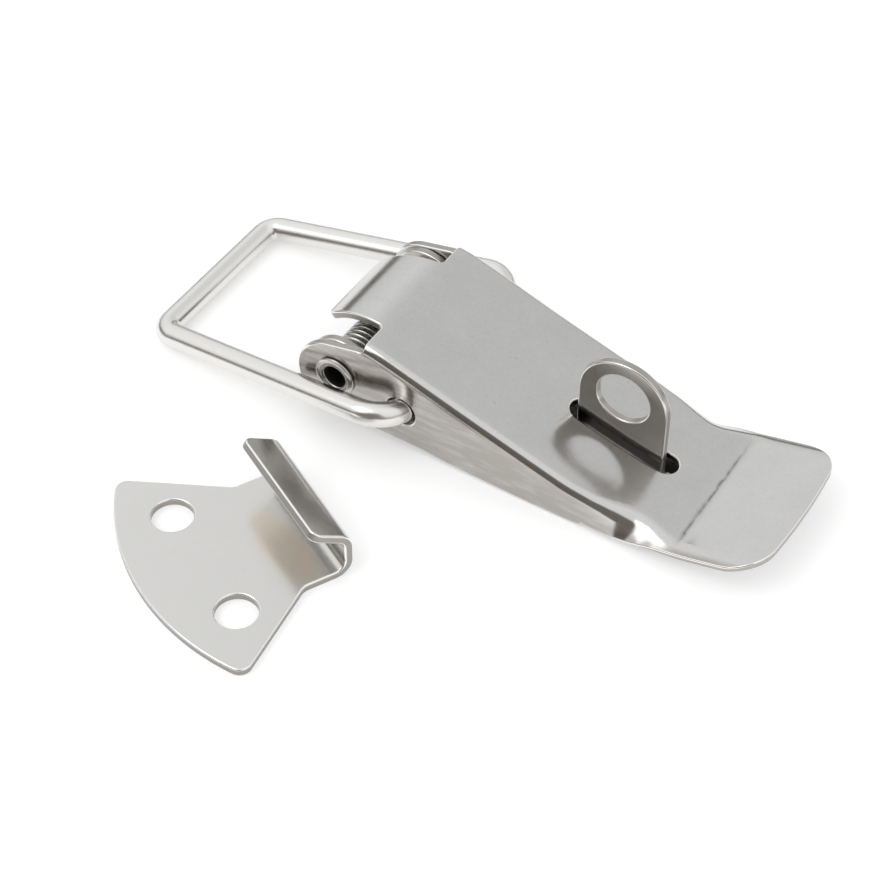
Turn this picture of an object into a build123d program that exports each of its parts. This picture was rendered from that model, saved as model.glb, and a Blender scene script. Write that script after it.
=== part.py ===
from build123d import *
from math import asin, cos, pi, radians, sin, tan
import os

os.makedirs("parts", exist_ok=True)

# Over-centre toggle latch folded from stainless sheet, in millimetres. The rivet's axis runs along Y
# through X = 0, the mounting face of the base plate is Z = 0, the lever's thumb tab points along +X
# and the wire bail along -X. The catch plate lies beside the latch on the same surface.

# Stock
sheet = 1.2
bail_wire = 3.4
spring_wire = 0.85

# Clearances
side_clearance = 0.1
pin_clearance = 0.05

# Pivot rivet: a tube with its ends rolled over the lever's ears
pivot_height = 7.9
rivet_diameter = 4.0
rivet_wall = 0.45
rivet_head_diameter = 5.9
rivet_lip = 0.5
rivet_mouth_depth = 0.4

# Lever: ears round the rivet, tongue over the spring, channel with a slot, thumb tab
lever_width = 24.4
lever_ear_radius = 5.9
lever_ear_x = -0.2
lever_ear_height = 6.9
root_x = 4.2
root_height = 14.95
ear_shoulder_height = 14.0
ear_low_height = 1.3
root_corner_radius = 0.7
shoulder_radius = 1.5
tongue_root_width = 14.6
tongue_tip_width = 12.8
tongue_tip_x = -5.3
tongue_tip_height = 11.7
tongue_bend_radius = 11.9
tongue_corner_radius = 1.4
bail_hole_x = 10.0
bail_hole_height = 6.4
bail_hole_diameter = 4.4
slot_width = 3.4
slot_front_clearance = 1.1
slot_rear_clearance = 1.9
tab_width = 25.1
tab_x = 46.5
tab_start_x = 37.0
tail_x = 62.35
tail_width = 25.0
tail_corner_radius = 5.3
tail_crown = 0.3

# Bail: a wire loop, wider at the lever than at the hook
bail_length = 39.4
bail_leg_gap = 4.4
bail_leg_angle = 5.2
bail_leg_rise = 1.5
bail_end_radius = 4.0
bail_corner_radius = 2.4
bail_end_stand_in = 1.2
bail_side_play = 0.6

# Double torsion spring round the rivet
spring_full_turns = 5
spring_runs_per_turn = 12
spring_wire_sides = 8
spring_pitch = 0.9
spring_rivet_clearance = 0.1
spring_floor_leg_angle = 25.0
spring_floor_leg_length = 8.8
spring_lever_leg_angle = 2.0
spring_lever_leg_length = 12.0
spring_bridge_radius = 1.3

# Base plate with two ears and a folded-up padlock eye
base_front_x = -4.6
base_ear_radius = 4.9
base_ear_foot_x = 8.0
base_rear_x = 46.0
base_rear_width = 19.0
base_corner_radius = 2.0
inner_bend_radius = 0.6
base_hole_diameter = 5.3
base_hole_x = 12.5
base_hole_pitch = 12.0
eye_x = 36.15
eye_width = 12.8
eye_height = 18.5
eye_hole_diameter = 7.5
eye_hole_height = 12.8
eye_relief = 0.6

# Catch plate, in its own plan frame: U towards the hook, V across it
catch_x = 0.73
catch_y = -43.32
catch_turn = 62.0
catch_neck_width = 19.6
catch_neck_u = 9.0
catch_neck_fillet = 2.0
catch_heel_u = -8.95
catch_corner_u = -3.6
catch_corner_width = 37.1
catch_corner_radius = 1.6
catch_hole_diameter = 5.5
catch_hole_pitch = 18.35
hook_start_u = 13.0
hook_front_u = 16.1
hook_bend_radius = 2.6
hook_crown_height = 7.1
hook_crown_radius = 4.0
hook_lip_u = 12.0
hook_lip_height = 8.1
hook_lip_radius = 1.2
hook_tip_u = 10.8
hook_tip_height = 9.5
hook_tip_corner_radius = 1.3

# Places worked out from the sizes above
half_lever = lever_width / 2
lever_inner_half = half_lever - sheet
base_half = lever_inner_half - side_clearance
base_inner_half = base_half - sheet
outer_bend_radius = inner_bend_radius + sheet
bail_tilt = asin((bail_hole_height + bail_leg_rise - bail_wire / 2) / bail_length)
through_all = 200.0


def channel_section(top, half_width, radius, angle, edge):
    """Closed outline of the folded sheet: flat top, two shoulders and two straight skirts.

    The skirts run at the fold angle from the shoulders down to the height of their outer edge.
    """
    turn = radians(angle)
    skirt = (top - radius * (1 - cos(turn)) - edge) / sin(turn)
    flat = half_width - radius * sin(turn) - skirt * cos(turn)
    along = Vector(cos(turn), -sin(turn))
    inward = Vector(-sin(turn), -cos(turn))

    def shoulder(arc_radius, share):
        swing = turn * share
        return Vector(flat + arc_radius * sin(swing), top - radius + arc_radius * cos(swing))

    def mirrored(*points):
        return [Vector(-point.X, point.Y) for point in points]

    outer = [shoulder(radius, share) for share in (0, 0.5, 1)]
    inner = [shoulder(radius - sheet, share) for share in (1, 0.5, 0)]
    outer_tip = outer[2] + along * skirt
    inner_tip = outer_tip + inward * sheet
    with BuildLine() as outline:
        Line(*mirrored(outer[0]), outer[0])
        ThreePointArc(*outer)
        Polyline(outer[2], outer_tip, inner_tip, inner[0])
        ThreePointArc(*inner)
        Line(inner[2], *mirrored(inner[2]))
        ThreePointArc(*mirrored(*reversed(inner)))
        Polyline(*mirrored(inner[0], inner_tip, outer_tip, outer[2]))
        ThreePointArc(*mirrored(*reversed(outer)))
    return outline.line


# The lever's channel and tab run straight from station to station, closer together where the metal
# bends. Each station gives its place along the lever, the height of its top, its spread beyond the
# lever's half width, its shoulder radius, the fold angle of its skirts and the height of their outer edge.
lever_stations = (
    (0.0, 15.9, 0.0, shoulder_radius, 90, 1.1),
    (root_x, root_height, 0.0, shoulder_radius, 90, 1.1),
    (8.5, 13.92, 0.0, shoulder_radius, 90, 1.15),
    (31.5, 7.0, 0.0, shoulder_radius, 90, 0.5),
    (35.0, 6.0, 0.0, shoulder_radius, 88, 0.5),
    (38.5, 5.08, 0.1, 1.7, 80, 0.55),
    (41.0, 4.55, 0.25, 2.2, 69, 0.65),
    (43.5, 4.15, 0.45, 3.0, 54, 1.05),
    (45.5, 3.88, 0.65, 3.8, 42, 1.6),
    (47.5, 3.7, 0.8, 4.5, 31, 2.2),
    (49.7, 3.6, 0.8, 4.9, 25, 2.7),
    (50.7, 3.68, 0.8, 5.0, 22, 2.9),
    (52.5, 4.05, 0.8, 5.0, 20, 3.35),
    (63.0, 6.55, 0.75, 5.0, 20, 5.85),
)

# Tongue: a curved leaf in front of the channel, narrower towards its rounded tip and flared at its root
with BuildPart() as tongue:
    with BuildSketch(Plane.XZ):
        with BuildLine():
            back = RadiusArc((tongue_tip_x, tongue_tip_height), (root_x, root_height), tongue_bend_radius)
            tip = back @ 0
            inner_tip = tip + (back.arc_center - tip).normalized() * sheet
            Line(tip, inner_tip)
            RadiusArc(inner_tip, (root_x, root_height - sheet), tongue_bend_radius - sheet)
            Line((root_x, root_height - sheet), back @ 1)
        make_face()
    extrude(amount=half_lever, both=True)
    with BuildSketch(Plane.XY):
        with BuildLine():
            leaf = Polyline(
                (root_x + sheet, half_lever),
                (root_x, half_lever),
                (root_x, tongue_root_width / 2),
                (tongue_tip_x, tongue_tip_width / 2),
                (tongue_tip_x, -tongue_tip_width / 2),
                (root_x, -tongue_root_width / 2),
                (root_x, -half_lever),
                (root_x + sheet, -half_lever),
                close=True,
            )
        make_face()
        fillet(vertices().group_by(Axis.X)[0], tongue_corner_radius)
        fillet(vertices().group_by(Axis.X)[-2].sort_by(Axis.Y)[1:3], root_corner_radius)
    extrude(amount=through_all, mode=Mode.INTERSECT)

# Side outline of the lever's ears: a nose whose edges run on straight to the root of the tongue
with BuildSketch(Plane.XZ) as ear_outline:
    with BuildLine():
        CenterArc((lever_ear_x, lever_ear_height), lever_ear_radius, 0, 360)
        Line((root_x, ear_low_height), (root_x, ear_shoulder_height))
    make_hull()

with BuildPart() as lever:
    for station_x, top, spread, radius, angle, edge in lever_stations:
        with BuildSketch(Plane.YZ.offset(station_x)):
            with BuildLine():
                add(channel_section(top, half_lever + spread, radius, angle, edge))
            make_face()
    loft(ruled=True)
    # Rounded ears in front of the channel's first station
    with BuildSketch(Plane.XZ):
        add(ear_outline.sketch_local)
        Rectangle(lever_width, lever_width, align=(Align.MIN, Align.MIN), mode=Mode.SUBTRACT)
    extrude(amount=half_lever, both=True)
    with BuildSketch(Plane.XZ):
        Rectangle(lever_width, lever_width, align=(Align.MAX, Align.MIN))
    extrude(amount=lever_inner_half, both=True, mode=Mode.SUBTRACT)
    # Sheet cut away above the ears as far back as the root of the tongue
    with BuildSketch(Plane.XZ):
        with Locations((root_x, lever_ear_height)):
            Rectangle(lever_width / 2, lever_width / 2, align=(Align.MAX, Align.MIN))
        add(ear_outline.sketch_local, mode=Mode.SUBTRACT)
        fillet(vertices().group_by(Axis.X)[-1].sort_by(Axis.Y)[0], root_corner_radius)
    extrude(amount=half_lever + sheet, both=True, mode=Mode.SUBTRACT)
    add(tongue.part)
    # Plan outline of the tab
    with BuildSketch(Plane.XY):
        with BuildLine():
            near_flank = ThreePointArc(
                (tab_start_x, -half_lever),
                (tab_x, -tab_width / 2),
                (tail_x - tail_corner_radius, -tail_width / 2),
            )
            tail = ThreePointArc(
                (tail_x - tail_crown, tail_corner_radius - tail_width / 2),
                (tail_x, 0),
                (tail_x - tail_crown, tail_width / 2 - tail_corner_radius),
            )
            far_flank = ThreePointArc(
                (tail_x - tail_corner_radius, tail_width / 2),
                (tab_x, tab_width / 2),
                (tab_start_x, half_lever),
            )
            TangentArc(near_flank @ 1, tail @ 0, tangent=near_flank % 1)
            TangentArc(far_flank @ 0, tail @ 1, tangent=far_flank % 0 * -1)
            Polyline(
                far_flank @ 1,
                (tab_start_x, lever_width),
                (-lever_width, lever_width),
                (-lever_width, -lever_width),
                (tab_start_x, -lever_width),
                near_flank @ 0,
            )
        make_face()
    extrude(amount=through_all, mode=Mode.INTERSECT)
    # Slot for the padlock eye
    with BuildSketch(Plane.XY):
        slot_front = eye_x - eye_width / 2 - slot_front_clearance
        slot_rear = eye_x + eye_width / 2 + slot_rear_clearance
        with Locations(((slot_front + slot_rear) / 2, 0)):
            SlotOverall(slot_rear - slot_front, slot_width)
    extrude(amount=through_all, mode=Mode.SUBTRACT)
    # Rivet and bail holes
    with BuildSketch(Plane.XZ):
        with Locations((0, pivot_height)):
            Circle(rivet_diameter / 2 + pin_clearance)
        with Locations((bail_hole_x, bail_hole_height)):
            Circle(bail_hole_diameter / 2)
    extrude(amount=lever_width, both=True, mode=Mode.SUBTRACT)
lever.part.label = "lever"
export_step(lever.part, "parts/lever.step")

# Padlock eye: a leaf folded up from the floor, with a rounded head
with BuildPart() as eye:
    with BuildSketch(Plane.YZ.offset(eye_x)):
        fold_y = outer_bend_radius - sheet / 2
        with BuildLine():
            Polyline((fold_y, 0), (fold_y, sheet))
            RadiusArc((fold_y, sheet), (sheet / 2, outer_bend_radius), inner_bend_radius)
            Polyline(
                (sheet / 2, outer_bend_radius),
                (sheet / 2, eye_height),
                (-sheet / 2, eye_height),
                (-sheet / 2, outer_bend_radius),
            )
            RadiusArc((fold_y, 0), (-sheet / 2, outer_bend_radius), outer_bend_radius)
        make_face()
    extrude(amount=eye_width / 2, both=True)
    with BuildSketch(Plane.XZ):
        with Locations((eye_x, eye_height - eye_width / 2)):
            Circle(eye_width / 2)
            Rectangle(eye_width, eye_height, align=(Align.CENTER, Align.MAX))
        with Locations((eye_x, eye_hole_height)):
            Circle(eye_hole_diameter / 2, mode=Mode.SUBTRACT)
    extrude(amount=outer_bend_radius, both=True, mode=Mode.INTERSECT)

with BuildPart() as base_plate:
    # Channel of the two ears
    with BuildSketch(Plane.YZ.offset(-base_ear_radius)):
        Rectangle(2 * base_half, 2 * pivot_height, align=(Align.CENTER, Align.MIN))
        fillet(vertices().group_by(Axis.Y)[0], outer_bend_radius)
        with Locations((0, sheet + pivot_height)):
            Rectangle(2 * base_inner_half, 2 * pivot_height, mode=Mode.SUBTRACT)
        fillet(vertices().group_by(Axis.Y)[1], inner_bend_radius)
    extrude(amount=base_ear_foot_x + base_ear_radius)
    with BuildSketch(Plane.XZ):
        with BuildLine():
            CenterArc((0, pivot_height), base_ear_radius, 0, 360)
            Line((base_front_x, 0), (base_ear_foot_x, 0))
        make_hull()
    extrude(amount=base_half, both=True, mode=Mode.INTERSECT)
    # Floor behind the ears
    with BuildSketch(Plane.XY):
        Rectangle(base_rear_x, base_rear_width, align=(Align.MIN, Align.CENTER))
        fillet(vertices().group_by(Axis.X)[-1], base_corner_radius)
        relief_width = eye_width + 2 * eye_relief
        with Locations((eye_x, outer_bend_radius - sheet / 2)):
            Rectangle(relief_width, base_rear_width, align=(Align.CENTER, Align.MAX), mode=Mode.SUBTRACT)
        with Locations((base_hole_x, 0), (base_hole_x + base_hole_pitch, 0)):
            Circle(base_hole_diameter / 2, mode=Mode.SUBTRACT)
    extrude(amount=sheet)
    add(eye.part)
    with BuildSketch(Plane.XZ):
        with Locations((0, pivot_height)):
            Circle(rivet_diameter / 2)
    extrude(amount=lever_width, both=True, mode=Mode.SUBTRACT)
base_plate.part.label = "base_plate"
export_step(base_plate.part, "parts/base_plate.step")

# Tubular rivet with both ends rolled over the lever's ears
with BuildPart() as pivot_rivet:
    with BuildSketch(Plane(origin=(0, 0, pivot_height), x_dir=(0, 1, 0), z_dir=(1, 0, 0))):
        rivet_radius = rivet_diameter / 2
        bore_radius = rivet_radius - rivet_wall
        head_radius = rivet_head_diameter / 2
        seat = half_lever + pin_clearance
        crown = (seat + rivet_lip, head_radius - rivet_lip)
        mouth = (crown[0] - rivet_mouth_depth, bore_radius)
        with BuildLine():
            Polyline(
                (0, bore_radius),
                (0, rivet_radius),
                (seat, rivet_radius),
                (seat, head_radius),
                crown,
                mouth,
                close=True,
            )
        make_face()
    revolve(axis=Axis((0, 0, pivot_height), (0, 1, 0)))
    mirror(about=Plane.XZ)
pivot_rivet.part.label = "pivot_rivet"
export_step(pivot_rivet.part, "parts/pivot_rivet.step")

# One half of the double torsion spring: a leg on the floor, a coil wound inwards round the rivet and a
# leg under the lever's top, which a bridge joins to the other half. Each turn is bent in short straight
# runs, from the points of a helix.
coil_radius = rivet_radius + spring_rivet_clearance + spring_wire / 2
coil_turns = spring_full_turns + (180 - spring_floor_leg_angle + spring_lever_leg_angle) / 360
floor_leg_slant = spring_floor_leg_length * spring_pitch / (2 * pi * coil_radius)
coil_outer_half = base_inner_half - side_clearance - spring_wire / 2 - floor_leg_slant
coil = Helix(
    pitch=spring_pitch,
    height=spring_pitch * coil_turns,
    radius=coil_radius,
    center=(0, coil_outer_half, pivot_height),
    direction=(0, -1, 0),
    lefthand=True,
).rotate(Axis((0, 0, pivot_height), (0, 1, 0)), spring_floor_leg_angle)
coil_runs = round(coil_turns * spring_runs_per_turn)
coil_points = [coil @ (run / coil_runs) for run in range(coil_runs + 1)]
floor_leg_end = coil_points[0] - coil % 0 * spring_floor_leg_length
lever_leg_end = coil_points[-1] + coil % 1 * spring_lever_leg_length
bridge_bend = lever_leg_end - Vector(0, spring_bridge_radius, 0)
with BuildPart() as torsion_spring:
    with BuildLine() as half_spring:
        Polyline(floor_leg_end, *coil_points, lever_leg_end, bridge_bend, (bridge_bend.X, 0, bridge_bend.Z))
    with BuildSketch(Plane(origin=floor_leg_end, z_dir=coil % 0)):
        RegularPolygon(spring_wire / 2, spring_wire_sides)
    sweep(path=half_spring.line, transition=Transition.RIGHT)
    mirror(about=Plane.XZ)
torsion_spring.part.label = "torsion_spring"
export_step(torsion_spring.part, "parts/torsion_spring.step")

# Wire bail: a tapering loop whose ends turn inwards and dip into the holes of the lever
with BuildPart() as bail:
    bail_plane = Plane(
        origin=(bail_hole_x, bail_side_play, bail_hole_height + bail_leg_rise),
        x_dir=(-cos(bail_tilt), 0, -sin(bail_tilt)),
        z_dir=(-sin(bail_tilt), 0, cos(bail_tilt)),
    )
    rear_half = half_lever + bail_leg_gap
    front_half = rear_half - bail_length * tan(radians(bail_leg_angle))
    end_half = lever_inner_half - bail_end_stand_in
    end_dip = bail_leg_rise * (rear_half - end_half) / (rear_half - half_lever + sheet / 2)
    with BuildLine(bail_plane) as loop:
        FilletPolyline(
            (0, end_half, -end_dip),
            (0, rear_half, 0),
            (bail_length, front_half, 0),
            (bail_length, -front_half, 0),
            (0, -rear_half, 0),
            (0, -end_half, -end_dip),
            radius=(bail_end_radius, bail_corner_radius, bail_corner_radius, bail_end_radius),
        )
    with BuildSketch(Plane(origin=loop.line @ 0, z_dir=loop.line % 0)):
        Circle(bail_wire / 2)
    sweep(path=loop.line)
bail.part.label = "bail"
export_step(bail.part, "parts/bail.step")

# Catch plate: a flat plate with two screw holes, and a hook rolled up from its neck
with BuildPart() as catch_plate:
    turn = radians(catch_turn)
    catch_plan = Plane(origin=(catch_x, catch_y, 0), x_dir=(cos(turn), sin(turn), 0), z_dir=(0, 0, 1))
    with BuildSketch(catch_plan):
        with BuildLine():
            ThreePointArc(
                (catch_corner_u, -catch_corner_width / 2),
                (catch_heel_u, 0),
                (catch_corner_u, catch_corner_width / 2),
            )
            Polyline(
                (catch_corner_u, catch_corner_width / 2),
                (catch_neck_u, catch_neck_width / 2),
                (hook_start_u, catch_neck_width / 2),
                (hook_start_u, -catch_neck_width / 2),
                (catch_neck_u, -catch_neck_width / 2),
                (catch_corner_u, -catch_corner_width / 2),
            )
        make_face()
        fillet(vertices().group_by(Axis.X)[0], catch_corner_radius)
        fillet(vertices().group_by(Axis.X)[-2], catch_neck_fillet)
        with GridLocations(0, catch_hole_pitch, 1, 2):
            Circle(catch_hole_diameter / 2, mode=Mode.SUBTRACT)
    extrude(amount=sheet)
    hook_section = Plane(origin=catch_plan.origin, x_dir=catch_plan.x_dir, z_dir=-catch_plan.y_dir)
    with BuildSketch(hook_section):
        with BuildLine():
            FilletPolyline(
                (hook_start_u, 0),
                (hook_front_u, 0),
                (hook_front_u, hook_crown_height),
                (hook_lip_u, hook_lip_height),
                (hook_tip_u, hook_tip_height),
                radius=(hook_bend_radius, hook_crown_radius, hook_lip_radius),
            )
            offset(amount=sheet, side=Side.LEFT)
        make_face()
    extrude(amount=catch_neck_width / 2, both=True)
    lip_end = faces().sort_by(Axis.Z)[-1]
    fillet(lip_end.edges().sort_by(SortBy.LENGTH)[:2], hook_tip_corner_radius)
catch_plate.part.label = "catch_plate"
export_step(catch_plate.part, "parts/catch_plate.step")
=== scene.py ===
"""Looks of an over-centre toggle latch: folded satin sheet, polished wire and a hooked catch plate.

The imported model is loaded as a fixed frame. Each sub-assembly is a class that builds its meshes in metres
in that frame, dresses them with a procedural finish and lets them ride on the body that carries them.
"""

import logging
import math
from bisect import bisect_right
from dataclasses import dataclass
from enum import Enum
from itertools import accumulate
from typing import Callable

import bmesh
import bpy
from mathutils import Matrix, Vector


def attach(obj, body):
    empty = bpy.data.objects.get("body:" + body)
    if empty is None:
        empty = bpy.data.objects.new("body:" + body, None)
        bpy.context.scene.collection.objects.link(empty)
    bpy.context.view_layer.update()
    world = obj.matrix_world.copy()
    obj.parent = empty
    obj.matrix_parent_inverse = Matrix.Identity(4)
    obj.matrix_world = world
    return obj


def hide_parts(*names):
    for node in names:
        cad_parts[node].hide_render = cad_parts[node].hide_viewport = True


logging.basicConfig(level=logging.INFO, format="%(message)s")
log = logging.getLogger("latch")

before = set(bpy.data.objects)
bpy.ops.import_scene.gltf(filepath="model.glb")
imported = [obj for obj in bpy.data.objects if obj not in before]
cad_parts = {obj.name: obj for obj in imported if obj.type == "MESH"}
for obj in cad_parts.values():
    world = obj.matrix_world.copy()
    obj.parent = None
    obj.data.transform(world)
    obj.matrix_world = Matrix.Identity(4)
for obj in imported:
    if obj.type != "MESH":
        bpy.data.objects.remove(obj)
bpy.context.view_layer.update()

Pair = tuple[float, float]
Triple = tuple[float, float, float]
Quad = tuple[float, float, float, float]
Places = tuple[float, ...]
Stations = tuple[Pair, ...]

MM = 0.001
# The vertex attribute that is 0 on a sheet's faces and 1 on its cut edges.
RIM = "cut_rim"
# Where the rounded rim of a wire's end has its rings of points, in radians.
END_RIM_ANGLES = (0, 0.5, 1.05, 1.5)

# Measures that several pieces share, in millimetres.
SHEET = 1.2
PIVOT_HEIGHT = 7.9
HOLE_HEIGHT = 6.4


# --- Shader maths ---


class Sock:
    """A socket's value in a node tree, on which Python's operators add Math nodes."""

    def __init__(self, mat: "Shader", socket: bpy.types.NodeSocket) -> None:
        """Wraps one output socket of a shader."""
        self.mat = mat
        self.socket = socket

    def _math(self, operation: str, *values: "Sock | float") -> "Sock":
        """Adds one Math node with these inputs, in order, and gives its value."""
        return self.mat.node("ShaderNodeMath", {"operation": operation}, dict(enumerate(values)))

    def __add__(self, other: "Sock | float") -> "Sock":
        """Sum."""
        return self._math("ADD", self, other)

    def __radd__(self, other: float) -> "Sock":
        """Sum with a number on the left."""
        return self._math("ADD", other, self)

    def __sub__(self, other: "Sock | float") -> "Sock":
        """Difference."""
        return self._math("SUBTRACT", self, other)

    def __rsub__(self, other: float) -> "Sock":
        """Difference with a number on the left."""
        return self._math("SUBTRACT", other, self)

    def __mul__(self, other: "Sock | float") -> "Sock":
        """Product."""
        return self._math("MULTIPLY", self, other)

    def __rmul__(self, other: float) -> "Sock":
        """Product with a number on the left."""
        return self._math("MULTIPLY", other, self)

    def absolute(self) -> "Sock":
        """The value without its sign."""
        return self._math("ABSOLUTE", self)

    def clamp(self) -> "Sock":
        """The value held between 0 and 1."""
        return self.mat.node("ShaderNodeClamp", {}, {0: self})


class Shader:
    """The node tree of a material or of the world."""

    def __init__(self, owner: "bpy.types.Material | bpy.types.World", output: str) -> None:
        """Empties the tree.

        Args:
            owner: The material or world.
            output: The type of its output node.
        """
        self.owner = owner
        self.output = output
        self.tree = owner.node_tree
        self.tree.nodes.clear()

    @classmethod
    def material(cls, name: str) -> "Shader":
        """Makes an empty node material.

        Args:
            name: The material's name.

        Returns:
            Its shader.
        """
        owner = bpy.data.materials.new(name)
        owner.use_nodes = True
        return cls(owner, "ShaderNodeOutputMaterial")

    def node(
        self,
        kind: str,
        settings: "dict | None" = None,
        values: "dict | None" = None,
        out: "int | str" = 0,
    ) -> Sock:
        """Adds one node.

        Args:
            kind: The node's type.
            settings: The node's own properties, set first. "stops" fills a colour ramp.
            values: Values or links of its sockets, by index or name.
            out: The output socket that is wanted.

        Returns:
            That output.
        """
        made = self.tree.nodes.new(kind)
        for key, value in (settings or {}).items():
            if key == "stops":
                fill_ramp(made.color_ramp, value)
            else:
                setattr(made, key, value)
        for key, value in (values or {}).items():
            if isinstance(value, Sock):
                self.tree.links.new(value.socket, made.inputs[key])
            else:
                made.inputs[key].default_value = value
        return Sock(self, made.outputs[out]) if made.outputs else Sock(self, None)

    def noise(self, place: Sock, size: float, detail: float) -> Sock:
        """A noise texture, about 0.5 on the whole, with lumps of a size in millimetres."""
        scale = 1 / (size * MM)
        return self.node("ShaderNodeTexNoise", {}, {"Vector": place, "Scale": scale, "Detail": detail})

    def mix(self, factor: Sock, low: "Sock | tuple", high: "Sock | tuple") -> Sock:
        """The blend of two colours by a factor, 0 for the low one and 1 for the high one."""
        return self.node("ShaderNodeMix", {"data_type": "RGBA"}, {"Factor": factor, 6: low, 7: high}, out=2)

    def stretched(self, place: Sock, factors: Triple) -> Sock:
        """Coordinates multiplied by a factor for each axis."""
        return self.node("ShaderNodeVectorMath", {"operation": "MULTIPLY"}, {0: place, 1: factors})

    def millimetres(self, place: Sock, axes: str) -> "list[Sock]":
        """Some axes of coordinates in metres, as values in millimetres."""
        return [self.node("ShaderNodeSeparateXYZ", {}, {0: place}, out=axis) * (1 / MM) for axis in axes]

    def surface(self, shader: Sock) -> "bpy.types.Material | bpy.types.World":
        """Links a surface shader to the output and gives the finished material or world."""
        self.node(self.output, {}, {"Surface": shader})
        return self.owner


def fill_ramp(ramp: bpy.types.ColorRamp, stops: "list[tuple[float, tuple]]") -> None:
    """Sets a colour ramp's stops.

    Args:
        ramp: The ramp.
        stops: Pairs of position and colour.
    """
    while len(ramp.elements) < len(stops):
        ramp.elements.new(0.5)
    for element, (position, colour) in zip(ramp.elements, stops):
        element.position = position
        element.color = (*colour, 1.0)


# --- Curves and meshes ---


class Table:
    """A smooth curve through stations, such as the height of a folded sheet along its length."""

    def __init__(self, stations: Stations) -> None:
        """Works out a slope at each station.

        Args:
            stations: Pairs of place and value, in order of place.
        """
        self.at = [place for place, _ in stations]
        self.value = [value for _, value in stations]
        rise = [(v - u) / (b - a) for (a, u), (b, v) in zip(stations, stations[1:])]
        inner = [0.0 if p * q <= 0 else 2 * p * q / (p + q) for p, q in zip(rise, rise[1:])]
        self.slope = [rise[0], *inner, rise[-1]]

    def __call__(self, place: float) -> float:
        """The value at one place, going on straight beyond the ends.

        Args:
            place: The place.

        Returns:
            The value there.
        """
        if place <= self.at[0]:
            return self.value[0] + self.slope[0] * (place - self.at[0])
        if place >= self.at[-1]:
            return self.value[-1] + self.slope[-1] * (place - self.at[-1])
        left = bisect_right(self.at, place) - 1
        span = self.at[left + 1] - self.at[left]
        t = (place - self.at[left]) / span
        return (
            (1 + 2 * t) * (1 - t) ** 2 * self.value[left]
            + t * (1 - t) ** 2 * span * self.slope[left]
            + t * t * (3 - 2 * t) * self.value[left + 1]
            - t * t * (1 - t) * span * self.slope[left + 1]
        )


def eased(value: float, low: float, high: float) -> float:
    """How far a value is on its way from low to high, from 0 to 1 and smooth at both ends."""
    t = min(1.0, max(0.0, (value - low) / (high - low)))
    return t * t * (3 - 2 * t)


def spaced(start: float, end: float, step: float) -> Places:
    """Places from start to end, both among them, at equal steps of at most this size."""
    count = max(1, math.ceil((end - start) / step))
    return tuple(start + (end - start) * i / count for i in range(count + 1))


def both_sides(middle: Places, side: Places) -> Places:
    """Places in the middle, with those of one side on either side of them."""
    return (*(-place for place in reversed(side)), *middle, *side)


def mirrored(points: list[Pair]) -> list[Pair]:
    """The same points on the other side of the middle line, in reverse order."""
    return [(x, -y) for x, y in reversed(points)]


def arc_points(centre: Pair, radius: float, start: float, end: float, step: float = 6.0) -> list[Pair]:
    """Points along an arc.

    Args:
        centre: The arc's centre.
        radius: Its radius.
        start: Its first angle, in degrees.
        end: Its last angle, in degrees.
        step: The most degrees between points.

    Returns:
        The points, both ends among them.
    """
    count = max(2, math.ceil(abs(end - start) / step) + 1)
    turns = (math.radians(start + (end - start) * i / (count - 1)) for i in range(count))
    return [(centre[0] + radius * math.cos(a), centre[1] + radius * math.sin(a)) for a in turns]


def circle_points(centre: Pair, radius: float) -> list[Pair]:
    """Points round a whole circle, in order and without a double."""
    return arc_points(centre, radius, 0, 360, 5)[:-1]


def fillet(
    before: Vector, corner: Vector, after: Vector, radius: float
) -> tuple[Vector, Vector, Vector]:
    """Fits an arc into a corner.

    Args:
        before: A point on the way to the corner.
        corner: The corner.
        after: A point on the way from it.
        radius: The arc's radius.

    Returns:
        The arc's centre, and its first and last point as seen from there.
    """
    back, ahead = (before - corner).normalized(), (after - corner).normalized()
    half = back.angle(ahead) / 2
    centre = corner + (back + ahead).normalized() * (radius / math.sin(half))
    reach = radius / math.tan(half)
    return centre, corner + back * reach - centre, corner + ahead * reach - centre


def bent(reach: float, flat: float, radius: float, angle: float) -> Pair:
    """Follows a sheet that lies flat, turns through a bend and goes on straight.

    Args:
        reach: A place along the sheet's outer side.
        flat: Where the bend starts.
        radius: The bend's outer radius.
        angle: How far it turns, in radians.

    Returns:
        How far out and how far off the flat that place comes to lie.
    """
    turned = max(0.0, min(angle, (reach - flat) / radius))
    rest = max(0.0, reach - flat - radius * angle)
    out = min(reach, flat) + radius * math.sin(turned) + rest * math.cos(angle)
    return out, radius * (1 - math.cos(turned)) + rest * math.sin(angle)


def rounded(corners: list[Triple], closed: bool = True) -> list[Pair]:
    """A polygon with its corners rounded.

    Args:
        corners: Each corner's place and radius.
        closed: Whether the last corner joins the first.

    Returns:
        The points of the outline.
    """
    points: list[Pair] = []
    count = len(corners)
    for i, (x, y, radius) in enumerate(corners):
        if radius <= 0 or (not closed and i in (0, count - 1)):
            points.append((x, y))
            continue
        before, after = Vector(corners[i - 1][:2]), Vector(corners[(i + 1) % count][:2])
        centre, first, last = fillet(before, Vector((x, y)), after, radius)
        start = math.degrees(math.atan2(first.y, first.x))
        sweep = math.degrees(math.atan2(last.y, last.x)) - start
        sweep = (sweep + 180) % 360 - 180
        points += arc_points((centre.x, centre.y), radius, start, start + sweep)
    return points


def placed(name: str, data: bpy.types.ID) -> bpy.types.Object:
    """Makes an object and puts it in the scene.

    Args:
        name: The object's name.
        data: Its mesh, light or camera.

    Returns:
        The object.
    """
    made = bpy.data.objects.new(name, data)
    bpy.context.scene.collection.objects.link(made)
    return made


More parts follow.
